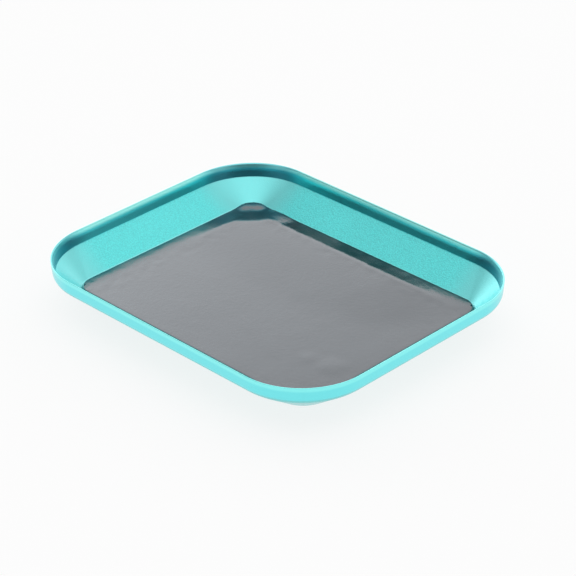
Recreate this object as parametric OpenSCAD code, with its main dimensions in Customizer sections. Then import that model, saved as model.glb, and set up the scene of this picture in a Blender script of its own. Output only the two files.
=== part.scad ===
// Magnetic parts tray: a shallow pan pressed from one sheet, a magnet taped into the well
// under its floor, and a thin loose mat that covers both and lifts out at the top.
// Millimetres. The origin is the middle of the underside, +X is the long way and +Z is up.

/* [Tray] */
// Length over the rim
tray_l = 106; // [90:1:200]
// Width over the rim
tray_w = 86; // [74:1:160]
// Height from the bench to the top of the rim
tray_h = 14; // [13:0.5:20]
// Corner radius of the rim, seen from above
corner_r = 20; // [20:0.5:26]

/* [Pressed sheet] */
// Thickness of the sheet
sheet_t = 0.8; // [0.6:0.1:1]
// Depth of the upright rim inside, from its lip to the bend
rim_d = 3.85; // [3:0.05:5]
// How far the foot of the rim stands in from its lip
rim_draft = 0.3; // [0:0.1:0.5]
// Thickness that a bevel on the inside leaves at the lip
lip_t = 0.4; // [0.3:0.05:0.5]
// Depth of that bevel below the lip
lip_d = 1.2; // [0.6:0.1:2]
// How far the sloping walls run in, from the foot of the rim to the ledge
wall_run = 8.95; // [8:0.05:10]
// Width of the level ledge between the wall and the well
ledge_w = 6; // [4:0.5:6.5]
// How far the foot of the well's wall stands in from its top
well_draft = 0.8; // [0.4:0.1:1]

/* [Magnet] */
// Thickness of the magnet
magnet_t = 3; // [2:0.1:3.5]
// Room between the magnet and the wall of its well
magnet_gap = 0.4; // [0.2:0.1:1]
// Thickness of the double-sided foam tape under the magnet
tape_t = 0.4; // [0.1:0.05:0.8]
// How far the tape stops short of the magnet's edge
tape_margin = 1.5; // [0.5:0.5:5]

/* [Mat] */
// Thickness of the mat
mat_t = 0.8; // [0.5:0.1:1.5]
// Room between the mat and the foot of the sloping wall
mat_gap = 0.2; // [0.2:0.1:1]
// Corner radius of the mat
mat_corner_r = 4.8; // [3:0.2:8]
// Length of each mat corner that rides up the wall, measured along its diagonal
flap_l = 14; // [10:1:20]

/* [Hidden] */
$fn = 96;

// Inside of a wall, as distances in from the rim's outside and heights
ledge_z = sheet_t + tape_t + magnet_t;
bend_z = tray_h - rim_d;
bevel_foot_z = tray_h - lip_d;
bevel_foot_in = sheet_t + rim_draft * lip_d / rim_d;
rim_foot_in = sheet_t + rim_draft;
slope_foot_in = rim_foot_in + wall_run;
well_top_in = slope_foot_in + ledge_w;
well_foot_in = well_top_in + well_draft;

// Outside of the same wall, one sheet thickness away, with its corners moved to suit
slope_a = atan((bend_z - ledge_z) / wall_run);
well_a = atan((ledge_z - sheet_t) / well_draft);
rim_lean = rim_draft / rim_d;
bend_shift = sheet_t * (1 - sin(slope_a)) / (cos(slope_a) - rim_lean * sin(slope_a));
slope_shift = sheet_t * tan(slope_a / 2);
well_shift = sheet_t * tan(well_a / 2);

wall_outline = [
    [0, tray_h],
    [rim_draft + rim_lean * bend_shift, bend_z - bend_shift],
    [slope_foot_in - slope_shift, ledge_z - sheet_t],
    [well_top_in - well_shift, ledge_z - sheet_t],
    [well_foot_in - well_shift, 0],
    [corner_r, 0],
    [corner_r, sheet_t],
    [well_foot_in, sheet_t],
    [well_top_in, ledge_z],
    [slope_foot_in, ledge_z],
    [rim_foot_in, bend_z],
    [bevel_foot_in, bevel_foot_z],
    [lip_t, tray_h]
];

// Straight lengths of the sides, between the corners
side_l = tray_l - 2 * corner_r;
side_w = tray_w - 2 * corner_r;

// The magnet and its tape fill the well
magnet_in = well_foot_in + magnet_gap;
tape_in = magnet_in + tape_margin;

// The mat lies on the ledge, and its tight corners rise just clear of the round pan corners
mat_in = slope_foot_in + mat_gap;
mat_l = tray_l - 2 * mat_in;
mat_w = tray_w - 2 * mat_in;
mat_centre_step = corner_r - mat_in - mat_corner_r;
mat_tip_r = sqrt(2) * mat_centre_step + mat_corner_r;
ledge_corner_r = corner_r - slope_foot_in;
flap_rise = max(mat_tip_r - ledge_corner_r, 0) * tan(slope_a) + mat_gap;
flap_a = atan(flap_rise / flap_l);
crease_reach = 2 * flap_l;
crease_back = (flap_l - mat_corner_r) / sqrt(2);
crease_x = mat_l / 2 - mat_corner_r - crease_back;
crease_y = mat_w / 2 - mat_corner_r - crease_back;
corner_signs = [[1, 1], [-1, 1], [-1, -1], [1, -1]];

module rounded_rect(l, w, r) {
    square([l - 2 * r, w], center = true);
    square([l, w - 2 * r], center = true);
    for (s = corner_signs)
        translate([s[0] * (l / 2 - r), s[1] * (w / 2 - r)])
            circle(r);
}

// The section of a wall, with the well's floor as far in as the centre of the pan's corners
module wall_profile() {
    polygon(wall_outline);
}

// A straight wall along +X, with its outside at y = 0 and its inside towards +Y
module straight_wall(l) {
    translate([-l / 2, 0, 0])
        rotate([90, 0, 90])
            linear_extrude(l)
                wall_profile();
}

module corner_wall() {
    rotate_extrude(angle = 90)
        translate([corner_r, 0])
            mirror([1, 0])
                wall_profile();
}

// The middle of the well's floor, which runs on into the floors of the straight walls
module floor_cross() {
    square([tray_l - 2 * well_foot_in, side_w], center = true);
    square([side_l, tray_w - 2 * well_foot_in], center = true);
}

module tray_pan() {
    color([0.40, 0.83, 0.83])
    union() {
        for (turn = [0, 180]) {
            rotate(turn)
                translate([0, -tray_w / 2, 0])
                    straight_wall(side_l);
            rotate(turn + 90)
                translate([0, -tray_l / 2, 0])
                    straight_wall(side_w);
        }
        for (s = corner_signs)
            translate([s[0] * side_l / 2, s[1] * side_w / 2, 0])
                rotate(atan2(s[1], s[0]) - 45)
                    corner_wall();
        linear_extrude(sheet_t)
            floor_cross();
    }
}

module magnet_tape() {
    color([0.88, 0.85, 0.74])
    translate([0, 0, sheet_t])
        linear_extrude(tape_t)
            square([tray_l - 2 * tape_in, tray_w - 2 * tape_in], center = true);
}

module magnet() {
    color([0.16, 0.15, 0.15])
    translate([0, 0, sheet_t + tape_t])
        linear_extrude(magnet_t)
            rounded_rect(tray_l - 2 * magnet_in, tray_w - 2 * magnet_in, corner_r - magnet_in);
}

// Puts its children at a corner's crease, with +X pointing out along the diagonal
module at_crease(s) {
    translate([s[0] * crease_x, s[1] * crease_y, 0])
        rotate(atan2(s[1], s[0]))
            children();
}

// All the space above the mat's underside, which turns up past the creases
module mat_space(l, w, r) {
    difference() {
        linear_extrude(crease_reach)
            rounded_rect(l, w, r);
        for (s = corner_signs)
            at_crease(s)
                rotate([0, -flap_a, 0])
                    translate([-crease_reach, -crease_reach, -crease_reach])
                        cube([2 * crease_reach, 2 * crease_reach, crease_reach]);
    }
}

module cover_mat() {
    color([0.30, 0.31, 0.32])
    translate([0, 0, ledge_z])
        difference() {
            mat_space(mat_l, mat_w, mat_corner_r);
            translate([0, 0, mat_t])
                mat_space(mat_l + 2 * mat_gap, mat_w + 2 * mat_gap, mat_corner_r + mat_gap);
        }
}

tray_pan();
magnet_tape();
magnet();
cover_mat();
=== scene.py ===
import math

import bmesh
import bpy
from mathutils import Matrix, Vector


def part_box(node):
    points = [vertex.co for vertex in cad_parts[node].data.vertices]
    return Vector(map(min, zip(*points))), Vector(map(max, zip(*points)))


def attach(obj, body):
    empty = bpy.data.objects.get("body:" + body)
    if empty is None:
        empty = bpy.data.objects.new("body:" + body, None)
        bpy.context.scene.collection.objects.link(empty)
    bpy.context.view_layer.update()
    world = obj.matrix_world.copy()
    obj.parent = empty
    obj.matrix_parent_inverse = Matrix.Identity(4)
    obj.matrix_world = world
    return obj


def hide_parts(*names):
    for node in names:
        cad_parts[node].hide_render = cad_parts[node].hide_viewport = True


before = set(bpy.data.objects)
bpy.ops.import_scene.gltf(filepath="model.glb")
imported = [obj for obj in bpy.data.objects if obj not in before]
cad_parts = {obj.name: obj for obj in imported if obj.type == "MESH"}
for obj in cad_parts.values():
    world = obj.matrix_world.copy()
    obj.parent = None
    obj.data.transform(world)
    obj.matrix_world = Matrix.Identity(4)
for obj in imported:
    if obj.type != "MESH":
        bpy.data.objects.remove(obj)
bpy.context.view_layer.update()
print("frame loaded with", ", ".join(sorted(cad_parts)))

mm = 0.001
slack = 0.01 * mm              # a point this close to a place counts as there
sharpAngle = math.radians(60)  # edges that are sharper than this get rounded last
panLow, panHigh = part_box("tray_pan")
matLow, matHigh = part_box("cover_mat")
magnetLow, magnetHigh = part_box("magnet")


# a socket that shader sums are written with
class Wire:
    def __init__(self, finish, socket):
        self.finish = finish
        self.socket = socket

    def maths(self, operation, first, second):
        return self.finish.add("ShaderNodeMath", {"operation": operation}, {0: first, 1: second})

    def __add__(self, other):
        return self.maths("ADD", self, other)

    def __sub__(self, other):
        return self.maths("SUBTRACT", self, other)

    def __mul__(self, other):
        return self.maths("MULTIPLY", self, other)

    def __abs__(self):
        return self.maths("ABSOLUTE", self, 0)

    def __radd__(self, other):
        return self.maths("ADD", other, self)

    def __rsub__(self, other):
        return self.maths("SUBTRACT", other, self)

    def __rmul__(self, other):
        return self.maths("MULTIPLY", other, self)


# a material or the world, with its node tree
class Finish:
    def __init__(self, owner):
        owner.use_nodes = True
        self.owner = owner
        self.tree = owner.node_tree
        self.tree.nodes.clear()

    def add(self, kind, settings=None, sockets=None, output=0):
        node = self.tree.nodes.new(kind)
        for name, value in (settings or {}).items():
            setattr(node, name, value)
        for name, value in (sockets or {}).items():
            if isinstance(value, Wire):
                self.tree.links.new(value.socket, node.inputs[name])
            else:
                node.inputs[name].default_value = value
        return Wire(self, node.outputs[output]) if node.outputs else None

    def place(self):
        return self.add("ShaderNodeTexCoord", output="Object")

    def along(self, axis):
        return self.add("ShaderNodeSeparateXYZ", None, {0: self.place()}, axis)

    # 0 below the first limit and 1 above the second
    def step(self, value, low, high):
        return self.add("ShaderNodeMapRange", {"interpolation_type": "SMOOTHSTEP"},
                        {"Value": value, "From Min": low, "From Max": high})

    # noise with features of about the given size, from 0 to 1
    def noise(self, size, detail=2.0, roughness=0.5):
        return self.add("ShaderNodeTexNoise", None,
                        {"Vector": self.place(), "Scale": 1 / size, "Detail": detail, "Roughness": roughness})

    def tint(self, factor, first, second):
        return self.add("ShaderNodeMix", {"data_type": "RGBA"}, {0: factor, 6: first, 7: second}, 2)

    # relief of this depth, on top of another one if it is given
    def bump(self, height, distance, under=None):
        sockets = {"Height": height, "Distance": distance}
        if under:
            sockets["Normal"] = under
        return self.add("ShaderNodeBump", None, sockets)

    def surface(self, sockets):
        shader = self.add("ShaderNodeBsdfPrincipled", None, sockets)
        self.add("ShaderNodeOutputMaterial", None, {"Surface": shader})
        return self.owner


def newFinish(name):
    return Finish(bpy.data.materials.new(name))


# modelling helpers
def startPlane(name, length, width, height):
    bpy.ops.object.select_all(action="DESELECT")
    bpy.ops.mesh.primitive_plane_add(size=1, location=(0, 0, 0))
    piece = bpy.context.active_object
    piece.name = name
    bpy.ops.object.mode_set(mode="EDIT")
    bpy.ops.transform.resize(value=(length, width, 1), center_override=(0, 0, 0))
    bpy.ops.transform.translate(value=(0, 0, height))
    return piece


def roundCorners(radius, steps):
    bpy.ops.mesh.select_mode(type="VERT")
    bpy.ops.mesh.select_all(action="SELECT")
    bpy.ops.mesh.bevel(offset=radius, segments=steps, affect="VERTICES", clamp_overlap=False)


# selects the edges, level at this height if it is given, where two faces meet at more than this angle
def pickSharp(piece, angle, height=None):
    bpy.ops.mesh.select_mode(type="EDGE")
    bpy.ops.mesh.select_all(action="DESELECT")
    shape = bmesh.from_edit_mesh(piece.data)
    found = [e for e in shape.edges if e.calc_face_angle(0) > angle
             and (height is None or all(abs(v.co.z - height) < slack for v in e.verts))]
    for edge in found:
        edge.select_set(True)
    bmesh.update_edit_mesh(piece.data)
    return len(found)


def pickPoints(piece, test):
    bpy.ops.mesh.select_mode(type="VERT")
    bpy.ops.mesh.select_all(action="DESELECT")
    shape = bmesh.from_edit_mesh(piece.data)
    for point in shape.verts:
        if test(point.co):
            point.select_set(True)
    bmesh.update_edit_mesh(piece.data)


def finishModifier(piece, kind, **settings):
    modifier = piece.modifiers.new(kind.lower(), kind)
    for name, value in settings.items():
        setattr(modifier, name, value)
    bpy.ops.object.modifier_apply(modifier=modifier.name)


def roundEdges(piece, width, steps):
    finishModifier(piece, "BEVEL", width=width, segments=steps, limit_method="ANGLE", angle_limit=sharpAngle)


def smooth(piece):
    bpy.ops.object.mode_set(mode="OBJECT")
    bpy.ops.object.shade_smooth()
    finishModifier(piece, "WEIGHTED_NORMAL", keep_sharp=False, weight=60)


# camera
shot = {
    "azimuth": 45.50,
    "elevation": 30.28,
    "roll": 1.11,
    "lens": 139.23,
    "sensor": 36.0,
    "distance": 588.0 * mm,
    "aim": Vector((0, 0, 7 * mm)),
    "right": 3.30 * mm,       # how far the frame's middle lies from the aim
    "up": 0.14 * mm,
}


def makeCamera():
    turn = math.radians(shot["azimuth"])
    tilt = math.radians(shot["elevation"])
    roll = math.radians(shot["roll"])
    back = Vector((math.sin(turn) * math.cos(tilt), -math.cos(turn) * math.cos(tilt), math.sin(tilt)))
    right = Vector((math.cos(turn), math.sin(turn), 0))
    up = back.cross(right)
    across = math.cos(roll) * right - math.sin(roll) * up
    upward = math.sin(roll) * right + math.cos(roll) * up
    place = shot["aim"] + shot["right"] * right + shot["up"] * up + shot["distance"] * back
    lens = bpy.data.cameras.new("camera")
    lens.lens = shot["lens"]
    lens.sensor_width = shot["sensor"]
    camera = bpy.data.objects.new("camera", lens)
    bpy.context.scene.collection.objects.link(camera)
    camera.matrix_world = Matrix.Translation(place) @ Matrix((across, upward, back)).transposed().to_4x4()
    bpy.context.scene.camera = camera


makeCamera()
print("camera set")


# pan pressed from one sheet, as an inside and an outside that meet at the lip
pan = {
    "sheet": 0.8 * mm,
    "cornerRadius": 20 * mm,
    "cornerSteps": 28,
    "rimDepth": 3.85 * mm,    # inside, lip to bend
    "rimDraft": 0.3 * mm,
    "lip": 0.4 * mm,
    "lipDepth": 1.2 * mm,     # of the bevel that thins the lip
    "wallRun": 8.95 * mm,     # level distance that the sloping wall covers
    "footRadius": 5 * mm,     # of the corners at the foot of the sloping wall, inside
    "backRadius": 7.4 * mm,   # and outside
    "ledge": 6 * mm,
    "wellDraft": 0.8 * mm,
    "insideBend": 0.26 * mm,  # reach of a bend's rounding along the sheet
    "rimBend": 0.12 * mm,     # at the foot of the rim, inside
    "lipBend": 0.90 * mm,     # at the foot of the lip's bevel
    "outsideBend": 0.55 * mm,
    "skirtBend": 1.10 * mm,   # at the foot of the rim, outside
    "lipRound": 0.13 * mm,
    "bendSteps": 4,
    "bendAngle": math.radians(10),  # a bend in the sheet is at least this sharp
    "arcSlack": 0.05 * mm,    # a point this close to a corner's arc lies on it
    "weld": 0.002 * mm,       # at the lip, where inside and outside meet
}


# shrinks the four corners of the loop at this distance in and height, round their own middles
def tightenCorners(piece, inward, height, radius):
    half = (panHigh - panLow) / 2
    before = pan["cornerRadius"] - inward
    share = radius / before
    old = Vector((half.x - pan["cornerRadius"], half.y - pan["cornerRadius"]))
    new = Vector((half.x - inward - radius, half.y - inward - radius))
    still = (new - share * old) / (1 - share)
    for signX in (1, -1):
        for signY in (1, -1):
            def onArc(p):
                out = Vector((p.x * signX, p.y * signY)) - old
                level = abs(p.z - height) < slack
                return level and min(out) > -slack and abs(out.length - before) < pan["arcSlack"]

            pickPoints(piece, onArc)
            bpy.ops.transform.resize(value=(share, share, 1),
                                     center_override=(still.x * signX, still.y * signY, height))


# one side of the pan's wall, from the lip inwards, by its corners (distance in, height, rounding)
# foot is the number of the corner at the foot of the sloping wall, which gets this radius
def makeSkin(name, corners, foot, radius):
    size = panHigh - panLow
    piece = startPlane(name, size.x, size.y, corners[0][1])
    roundCorners(pan["cornerRadius"], pan["cornerSteps"])
    bpy.ops.mesh.select_mode(type="FACE")
    bpy.ops.mesh.select_all(action="SELECT")
    for (fromIn, fromZ, _), (toIn, toZ, _) in zip(corners, corners[1:]):
        bpy.ops.mesh.inset(thickness=toIn - fromIn, depth=toZ - fromZ)
    footIn, footZ, _ = corners[foot]
    tightenCorners(piece, footIn, footZ, radius)
    bends = {height: bend for _, height, bend in corners}   # one rounding for each height
    for height, bend in bends.items():
        if pickSharp(piece, pan["bendAngle"], height):
            bpy.ops.mesh.bevel(offset=bend, segments=pan["bendSteps"], affect="EDGES")
    return piece


def makePan():
    sheet = pan["sheet"]
    lipZ = panHigh.z
    bendZ = lipZ - pan["rimDepth"]
    ledgeZ = magnetHigh.z     # the ledge is level with the magnet's top
    floorZ = panLow.z + sheet
    lean = pan["rimDraft"] / pan["rimDepth"]
    rimIn = sheet + pan["rimDraft"]
    slopeIn = rimIn + pan["wallRun"]
    wellTopIn = slopeIn + pan["ledge"]
    wellFootIn = wellTopIn + pan["wellDraft"]
    inside = makeSkin("pan_sheet", [
        (0, lipZ, pan["insideBend"]),
        (pan["lip"], lipZ, pan["insideBend"]),
        (sheet + lean * pan["lipDepth"], lipZ - pan["lipDepth"], pan["lipBend"]),
        (rimIn, bendZ, pan["rimBend"]),
        (slopeIn, ledgeZ, pan["insideBend"]),
        (wellTopIn, ledgeZ, pan["insideBend"]),
        (wellFootIn, floorZ, pan["insideBend"]),
    ], foot=4, radius=pan["footRadius"])
    bpy.ops.object.mode_set(mode="OBJECT")
    slope = math.atan((bendZ - ledgeZ) / pan["wallRun"])
    well = math.atan((ledgeZ - floorZ) / pan["wellDraft"])
    bendDrop = sheet * (1 - math.sin(slope)) / (math.cos(slope) - lean * math.sin(slope))
    outside = makeSkin("pan_back", [
        (0, lipZ, 0),
        (pan["rimDraft"] + lean * bendDrop, bendZ - bendDrop, pan["skirtBend"]),
        (slopeIn - sheet * math.tan(slope / 2), ledgeZ - sheet, pan["outsideBend"]),
        (wellTopIn - sheet * math.tan(well / 2), ledgeZ - sheet, pan["outsideBend"]),
        (wellFootIn - sheet * math.tan(well / 2), panLow.z, pan["outsideBend"]),
    ], foot=2, radius=pan["backRadius"])
    bpy.ops.mesh.select_all(action="SELECT")
    bpy.ops.mesh.flip_normals()
    bpy.ops.object.mode_set(mode="OBJECT")
    outside.select_set(True)
    inside.select_set(True)
    bpy.context.view_layer.objects.active = inside
    bpy.ops.object.join()
    bpy.ops.object.mode_set(mode="EDIT")
    bpy.ops.mesh.select_all(action="SELECT")
    bpy.ops.mesh.remove_doubles(threshold=pan["weld"])
    found = pickSharp(inside, sharpAngle)
    bpy.ops.mesh.bevel(offset=pan["lipRound"], segments=pan["bendSteps"], affect="EDGES")
    smooth(inside)
    print("pan modelled with", found, "lip edges and", len(inside.data.polygons), "faces")
    return inside


# loose mat that covers the floor, a little too wide towards +Y, so that it swells along that edge
# and lifts in the corner at -X
mat = {
    "thickness": 0.8 * mm,
    "cornerRadius": 4.8 * mm,
    "cornerSteps": 12,
    "cell": 1.0 * mm,
    "extra": 0.22 * mm,       # width
    "swell": 0.34 * mm,
    "swellArea": (57 * mm, 6 * mm),
    "swellReach": 30 * mm,
    "pressReach": 5 * mm,     # how far in from the two edges the swelling is pressed down
    "pressFrom": 9 * mm,      # the edges are pressed from this far along
    "cornerPress": 4.9 * mm,  # and the corner within this distance
    "cornerReach": 8.5 * mm,
    "ruffle": 0.020 * mm,     # of the film along the same two edges
    "ruffleReach": 9 * mm,
    "ruffleSeed": 4,
    "edgeRise": 0.08 * mm,    # of the edge that is pushed against the wall
    "edgeReach": 9 * mm,
    "tipRise": 0.45 * mm,
    "tipSize": 3.6 * mm,
    "tipReach": 4.5 * mm,
    "pucker": 0.22 * mm,      # of the edge beside that corner
    "puckerAlong": 12.5 * mm,
    "puckerReach": 5.5 * mm,
    # each shallow blister near the front: place, rise, reach
    "blisters": [
        ((35.5 * mm, -15 * mm), 0.05 * mm, 5 * mm),
        ((28.5 * mm, -16 * mm), 0.03 * mm, 3 * mm),
    ],
    "top": 1.2 * mm,          # radius of the top of the pucker and of a blister
    "edgeRound": 0.12 * mm,
    "edgeSteps": 2,
}


def lift(rise, reach):
    bpy.ops.transform.translate(value=(0, 0, rise), use_proportional_edit=True,
                                proportional_edit_falloff="SMOOTH", proportional_size=reach)


def press(height, reach):
    bpy.ops.transform.resize(value=(1, 1, 0), center_override=(0, 0, height), use_proportional_edit=True,
                             proportional_edit_falloff="INVERSE_SQUARE", proportional_size=reach)


def makeMat():
    size = matHigh - matLow
    middleZ = matLow.z + mat["thickness"] / 2
    piece = startPlane("mat_film", size.x, size.y, middleZ)
    roundCorners(mat["cornerRadius"], mat["cornerSteps"])
    for axis in (0, 1):
        cuts = round(size[axis] / mat["cell"])
        normal = [0, 0, 0]
        normal[axis] = 1
        for cut in range(1, cuts):
            place = [0, 0, middleZ]
            place[axis] = size[axis] * (cut / cuts - 0.5)
            bpy.ops.mesh.select_all(action="SELECT")
            bpy.ops.mesh.bisect(plane_co=place, plane_no=normal)

    corner = Vector((-size.x, size.y)) / 2

    # whether a point is within these distances of the two edges that meet in the corner
    def nearEdges(p, fromX, fromY):
        return p.x < corner.x + fromX, p.y > corner.y - fromY

    pickPoints(piece, lambda p: all(nearEdges(p, *mat["swellArea"])))
    lift(mat["swell"], mat["swellReach"])
    pickPoints(piece, lambda p: any(nearEdges(p, slack, slack)) and (p.xy - corner).length > mat["pressFrom"])
    press(middleZ, mat["pressReach"])
    pickPoints(piece, lambda p: (p.xy - corner).length < mat["cornerPress"])
    press(middleZ, mat["cornerReach"])
    pickPoints(piece, lambda p: any(nearEdges(p, mat["ruffleReach"], mat["ruffleReach"])))
    bpy.ops.transform.vertex_random(offset=mat["ruffle"], normal=1, seed=mat["ruffleSeed"])
    pickPoints(piece, lambda p: p.y > corner.y - slack)
    lift(mat["edgeRise"], mat["edgeReach"])
    pickPoints(piece, lambda p: p.y - p.x > corner.y - corner.x - mat["tipSize"])
    lift(mat["tipRise"], mat["tipReach"])
    pucker = corner + Vector((mat["puckerAlong"], 0))
    for place, rise, reach in [(pucker, mat["pucker"], mat["puckerReach"])] + mat["blisters"]:
        pickPoints(piece, lambda p: (p.xy - Vector(place)).length < mat["top"])
        lift(rise, reach)

    bpy.ops.mesh.select_all(action="SELECT")
    bpy.ops.transform.resize(value=(1, 1 + mat["extra"] / size.y, 1),
                             center_override=(0, -size.y / 2, middleZ))
    bpy.ops.object.mode_set(mode="OBJECT")
    finishModifier(piece, "SOLIDIFY", thickness=mat["thickness"], offset=0, use_even_offset=True,
                   material_offset=1, material_offset_rim=1)
    roundEdges(piece, mat["edgeRound"], mat["edgeSteps"])
    smooth(piece)
    print("mat modelled with", len(piece.data.polygons), "faces")
    return piece


# magnet slab in the well
slab = {
    "cornerRadius": 2.75 * mm,
    "cornerSteps": 8,
    "edgeRound": 0.25 * mm,
    "edgeSteps": 2,
}


def makeMagnet():
    size = magnetHigh - magnetLow
    piece = startPlane("magnet_slab", size.x, size.y, magnetLow.z)
    roundCorners(slab["cornerRadius"], slab["cornerSteps"])
    bpy.ops.mesh.select_all(action="SELECT")
    bpy.ops.mesh.extrude_region_move(TRANSFORM_OT_translate={"value": (0, 0, size.z)})
    bpy.ops.mesh.select_all(action="SELECT")
    bpy.ops.mesh.normals_make_consistent(inside=False)
    bpy.ops.object.mode_set(mode="OBJECT")
    roundEdges(piece, slab["edgeRound"], slab["edgeSteps"])
    smooth(piece)
    print("magnet modelled with", len(piece.data.polygons), "faces")
    return piece


# bead-blasted and anodised teal, smoother on the rim, with painted light: a painted highlight on the slopes'
# corners, painted shade on the rim's corners, a painted highlight line at the wall's foot, and painted
# highlights on the lip and on the outside
anodised = {
    "teal": (0.100, 0.825, 0.820, 1),
    "tealShade": (0.062, 0.620, 0.620, 1),
    # painted highlight: the sloping wall paler in the four corners, standing in for the light they catch
    "paintedCornerHighlight": (0.150, 0.690, 0.695, 1),
    # painted highlight: a light line along the foot of the sloping wall
    "paintedFootHighlight": (0.210, 0.800, 0.810, 1),
    "rimTeal": (0.120, 0.930, 0.990, 1),
    # painted shade: the rim darker in the four corners, standing in for dark reflections there
    "paintedRimCornerShade": (0.075, 0.430, 0.530, 1),
    # painted highlight: the top of the rim lighter, standing in for a reflection
    "paintedLipHighlight": (0.300, 0.930, 0.880, 1),
    # painted highlight: the outside paler than the inside, standing in for its brighter reflection of the
    # floor; the next colour is a lighter painted highlight along its top
    "paintedBackHighlight": (0.180, 0.840, 0.880, 1),
    "paintedBackLipHighlight": (0.250, 0.950, 0.940, 1),
    # where one colour fades into the next, above or below the bend, the lip's bevel and the wall's foot
    "rimFade": (-0.05 * mm, 0.10 * mm),
    "lipFade": (-0.30 * mm, 0.45 * mm),
    "footStart": (0.10 * mm, 0.30 * mm),
    "footEnd": (0.36 * mm, 0.52 * mm),
    "cornerFade": 5 * mm,     # to either side of where a corner begins
    "backFade": 1 * mm,
    "cornerLip": 0.6,         # share of the lip's painted highlight that the corners lose
    "cloud": 14 * mm,
    "fleck": (0.38, 0.62),
    "fleckShare": 0.7,        # of the shading, which the cloud shares
    "wallRough": 0.38,
    "rimRough": 0.30,
    "roughSpread": 0.12,
    "grain": 0.34 * mm,
    "grainDepth": 0.080 * mm,
    "rimSmooth": 0.85,        # share of the grain that is gone
    "cornerSmooth": 0.5,
    "coatIndex": 1.9,
    "coatRough": 0.25,
    "wallCoat": 0.60,
    "rimCoat": 0.10,
    "lipCoat": 0.90,
    "backCoat": 0.30,
}


def anodisedSheet():
    finish = newFinish("anodised_teal")
    z = finish.along("Z")

    def above(height, fade):
        return finish.step(z, height + fade[0], height + fade[1])

    def pastStraight(axis, half):
        straight = half - pan["cornerRadius"]
        return finish.step(abs(finish.along(axis)), straight - anodised["cornerFade"],
                           straight + anodised["cornerFade"])

    onRim = above(panHigh.z - pan["rimDepth"], anodised["rimFade"])
    onLip = above(panHigh.z - pan["lipDepth"], anodised["lipFade"])
    # band for the painted highlight line along the foot of the sloping wall
    footHighlightBand = above(magnetHigh.z, anodised["footStart"]) - above(magnetHigh.z, anodised["footEnd"])
    corner = pastStraight("X", panHigh.x) * pastStraight("Y", panHigh.y)
    facing = finish.add("ShaderNodeTexCoord", output="Normal")
    outward = finish.add("ShaderNodeVectorMath", {"operation": "DOT_PRODUCT"},
                         {0: finish.place(), 1: facing}, "Value")
    onBack = finish.step(outward, -anodised["backFade"], anodised["backFade"])

    grain = finish.noise(anodised["grain"], roughness=0.6)
    cloud = finish.noise(anodised["cloud"])
    fleck = finish.step(grain, *anodised["fleck"])
    shade = fleck * anodised["fleckShare"] + cloud * (1 - anodised["fleckShare"])
    colour = finish.tint(shade, anodised["tealShade"], anodised["teal"])
    # painted highlight: the sloping wall paler in the corners
    colour = finish.tint(corner, colour, anodised["paintedCornerHighlight"])
    # painted highlight line at the wall's foot, on the inside only
    colour = finish.tint(footHighlightBand * (1 - onBack), colour, anodised["paintedFootHighlight"])
    # painted shade: the rim darker in the corners
    rimColour = finish.tint(corner, anodised["rimTeal"], anodised["paintedRimCornerShade"])
    # painted highlight: the outside paler, and lighter again along its top
    backColour = finish.tint(onLip, anodised["paintedBackHighlight"], anodised["paintedBackLipHighlight"])
    onLip = onLip * (1 - corner * anodised["cornerLip"])
    # painted highlight on the top of the rim, weaker in the corners
    rimColour = finish.tint(onLip, rimColour, anodised["paintedLipHighlight"])
    colour = finish.tint(onRim, colour, rimColour)
    colour = finish.tint(onRim * onBack, colour, backColour)

    coat = anodised["wallCoat"] + onRim * (anodised["rimCoat"] - anodised["wallCoat"])
    coat = coat + onLip * (anodised["lipCoat"] - coat)
    coat = coat + onRim * onBack * (anodised["backCoat"] - coat)
    rough = anodised["wallRough"] + onRim * (anodised["rimRough"] - anodised["wallRough"])
    rough = rough + (grain - 0.5) * anodised["roughSpread"]
    relief = grain * (1 - onRim * anodised["rimSmooth"]) * (1 - corner * anodised["cornerSmooth"])
    return finish.surface({
        "Base Color": colour,
        "Metallic": 1.0,
        "Roughness": rough,
        "Coat Weight": coat,
        "Coat IOR": anodised["coatIndex"],
        "Coat Roughness": anodised["coatRough"],
        "Normal": finish.bump(relief, anodised["grainDepth"]),
    })


# glossy face of the mat, a little wavy and pebbled
film = {
    "dark": (0.003, 0.0032, 0.0036, 1),
    "bloom": (0.014, 0.0145, 0.0155, 1),
    "cloud": 11 * mm,         # of the bloom
    "cloudEdge": (0.3, 0.7),
    "index": 2.75,
    "sheen": (0.85, 0.92, 1.0, 1),
    "rough": 0.13,
    "roughSpread": 0.06,
    "coat": 0.6,
    "coatRough": 0.06,
    "wave": 6 * mm,
    "waveDepth": 0.016 * mm,
    "pebble": 0.9 * mm,
    "pebbleDepth": 0.020 * mm,
}


def glossFilm():
    finish = newFinish("gloss_film")
    wave = finish.noise(film["wave"])
    pebble = finish.noise(film["pebble"], detail=3, roughness=0.6)
    cloud = finish.step(finish.noise(film["cloud"], detail=3, roughness=0.6), *film["cloudEdge"])
    waved = finish.bump(wave, film["waveDepth"])
    return finish.surface({
        "Base Color": finish.tint(cloud, film["dark"], film["bloom"]),
        "Roughness": film["rough"] + (cloud - 0.5) * film["roughSpread"],
        "IOR": film["index"],
        "Specular Tint": film["sheen"],
        "Coat Weight": film["coat"],
        "Coat Roughness": film["coatRough"],
        "Normal": finish.bump(pebble, film["pebbleDepth"], waved),
    })


# edge and underside of the mat
backing = {
    "dark": (0.012, 0.012, 0.013, 1),
    "light": (0.03, 0.03, 0.032, 1),
    "fleck": 0.25 * mm,
    "fleckDepth": 0.02 * mm,
    "rough": 0.6,
    "roughSpread": 0.2,
}


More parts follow.
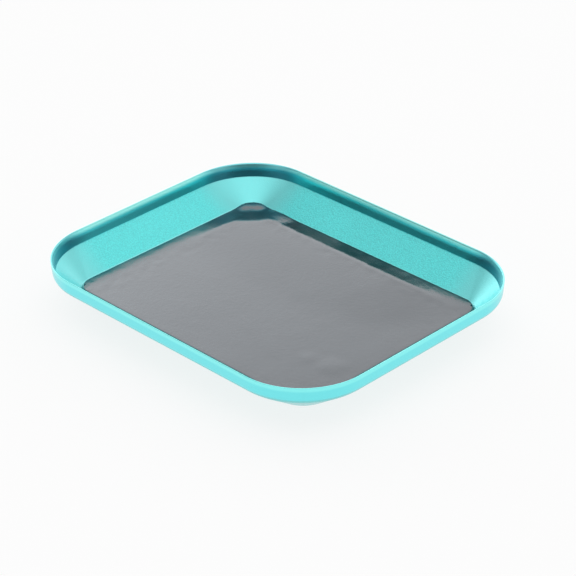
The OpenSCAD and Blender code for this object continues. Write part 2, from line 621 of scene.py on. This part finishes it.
def blackSheet():
    finish = newFinish("black_sheet")
    fleck = finish.noise(backing["fleck"], detail=3, roughness=0.6)
    return finish.surface({
        "Base Color": finish.tint(fleck, backing["dark"], backing["light"]),
        "Roughness": backing["rough"] + fleck * backing["roughSpread"],
        "Normal": finish.bump(fleck, backing["fleckDepth"]),
    })


# rubber-bonded ferrite, with faint lines along the way that it was rolled
ferrite = {
    "dark": (0.010, 0.0095, 0.009, 1),
    "light": (0.034, 0.031, 0.029, 1),
    "fleck": 0.2 * mm,
    "fleckTint": 0.5,
    "fleckRelief": 0.6,
    "wipe": 9 * mm,
    "wipeTint": 0.4,
    "lines": 2 * mm,
    "linesRelief": 0.4,
    "depth": 0.03 * mm,
    "rough": 0.5,
    "roughSpread": 0.25,
}
waveSpan = 0.31               # a wave texture at this scale repeats about every metre


def bondedFerrite():
    finish = newFinish("bonded_ferrite")
    fleck = finish.noise(ferrite["fleck"], detail=3, roughness=0.65)
    wipe = finish.noise(ferrite["wipe"], detail=3, roughness=0.6)
    lines = finish.add("ShaderNodeTexWave", {"bands_direction": "Y"},
                       {"Vector": finish.place(), "Scale": waveSpan / ferrite["lines"],
                        "Distortion": 0.4, "Detail": 2.0})
    shade = fleck * ferrite["fleckTint"] + wipe * ferrite["wipeTint"]
    relief = fleck * ferrite["fleckRelief"] + lines * ferrite["linesRelief"]
    return finish.surface({
        "Base Color": finish.tint(shade, ferrite["dark"], ferrite["light"]),
        "Roughness": ferrite["rough"] + wipe * ferrite["roughSpread"],
        "Normal": finish.bump(relief, ferrite["depth"]),
    })


# double-sided tape under the magnet
tape = {
    "dark": (0.62, 0.57, 0.42, 1),
    "light": (0.74, 0.70, 0.56, 1),
    "fibre": 0.4 * mm,
    "fibreDepth": 0.02 * mm,
    "rough": 0.55,
    "roughSpread": 0.25,
}


def paleTape():
    finish = newFinish("pale_tape")
    fibre = finish.noise(tape["fibre"], detail=4, roughness=0.65)
    return finish.surface({
        "Base Color": finish.tint(fibre, tape["dark"], tape["light"]),
        "Roughness": tape["rough"] + fibre * tape["roughSpread"],
        "Normal": finish.bump(fibre, tape["fibreDepth"]),
    })


def setFinish(piece, *finishes):
    piece.data.materials.clear()
    for finish in finishes:
        piece.data.materials.append(finish)


panPiece = makePan()
setFinish(panPiece, anodisedSheet())
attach(panPiece, "tray")
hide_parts("tray_pan")

matPiece = makeMat()
setFinish(matPiece, glossFilm(), blackSheet())
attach(matPiece, "mat")
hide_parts("cover_mat")

magnetPiece = makeMagnet()
setFinish(magnetPiece, bondedFerrite())
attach(magnetPiece, "tray")
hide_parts("magnet")

setFinish(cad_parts["magnet_tape"], paleTape())
print("finishes set")


# floor and sky
studio = {
    "floorSize": 8.0,
    "floorDrop": 0.03 * mm,
    "floorColour": (0.95, 0.95, 0.95, 1),
    "floorWhite": 0.82,       # share of plain white that the floor shows
    "sky": 0.78,
    # each soft patch of the sky: toward, full within and gone beyond (degrees), brightness added
    "behind": ((-0.718, 0.697, 0), 60, 95, 0.42),   # the back of the studio, up to the high part
    "high": ((0, 0, 1), 52, 69),
    "patches": [
        ((0, 0, 1), 15, 55, 0.33),
        ((0.64, 0.62, 0.42), 14, 34, -0.42),
        ((-0.66, -0.64, 0.42), 16, 36, -0.74),
        ((0.79, 0.60, -0.05), 8, 25, 0.98),
        ((-0.62, -0.78, -0.05), 8, 25, 0.78),
        ((0.20, 0.62, 0.76), 10, 35, 0.13),
        ((0.70, -0.68, 0.40), 18, 45, -0.50),
        ((0.26, -0.27, 0.93), 8, 32, 0.36),
        ((-0.95, 0.16, 0.28), 10, 34, 0.62),
        ((-0.18, 0.93, 0.32), 10, 32, 0.16),
        ((-0.85, 0.45, 0.25), 12, 28, 0.28),
    ],
}


def makeFloor():
    floorZ = panLow.z - studio["floorDrop"]
    bpy.ops.object.select_all(action="DESELECT")
    bpy.ops.mesh.primitive_plane_add(size=studio["floorSize"], location=(0, 0, floorZ))
    floor = bpy.context.active_object
    floor.name = "floor"
    paint = newFinish("floor_paint")
    seen = paint.add("ShaderNodeLightPath", output="Is Camera Ray")
    mirrored = paint.add("ShaderNodeLightPath", output="Is Glossy Ray")
    through = paint.add("ShaderNodeLightPath", output="Is Transmission Ray")
    matt = paint.add("ShaderNodeBsdfDiffuse", None, {"Color": studio["floorColour"]})
    white = paint.add("ShaderNodeEmission", None, {"Color": (1, 1, 1, 1), "Strength": 1.0})
    share = paint.add("ShaderNodeClamp", None, {"Value": seen + mirrored + through}) * studio["floorWhite"]
    mixed = paint.add("ShaderNodeMixShader", None, {0: share, 1: matt, 2: white})
    paint.add("ShaderNodeOutputMaterial", None, {"Surface": mixed})
    setFinish(floor, paint.owner)


def makeSky():
    world = bpy.data.worlds.new("studio")
    bpy.context.scene.world = world
    sky = Finish(world)
    direction = sky.add("ShaderNodeTexCoord", output="Generated")

    def patch(toward, near, far):
        turn = sky.add("ShaderNodeVectorMath", {"operation": "DOT_PRODUCT"},
                       {0: direction, 1: Vector(toward).normalized()}, "Value")
        return sky.step(turn, math.cos(math.radians(far)), math.cos(math.radians(near)))

    *behind, added = studio["behind"]
    strength = studio["sky"] + patch(*behind) * (1 - patch(*studio["high"])) * added
    for *place, added in studio["patches"]:
        strength = strength + patch(*place) * added
    light = sky.add("ShaderNodeBackground", None, {"Color": (1, 1, 1, 1), "Strength": strength})
    sky.add("ShaderNodeOutputWorld", None, {"Surface": light})


makeFloor()
makeSky()
bpy.context.scene.view_settings.view_transform = "Standard"
print("studio lit")
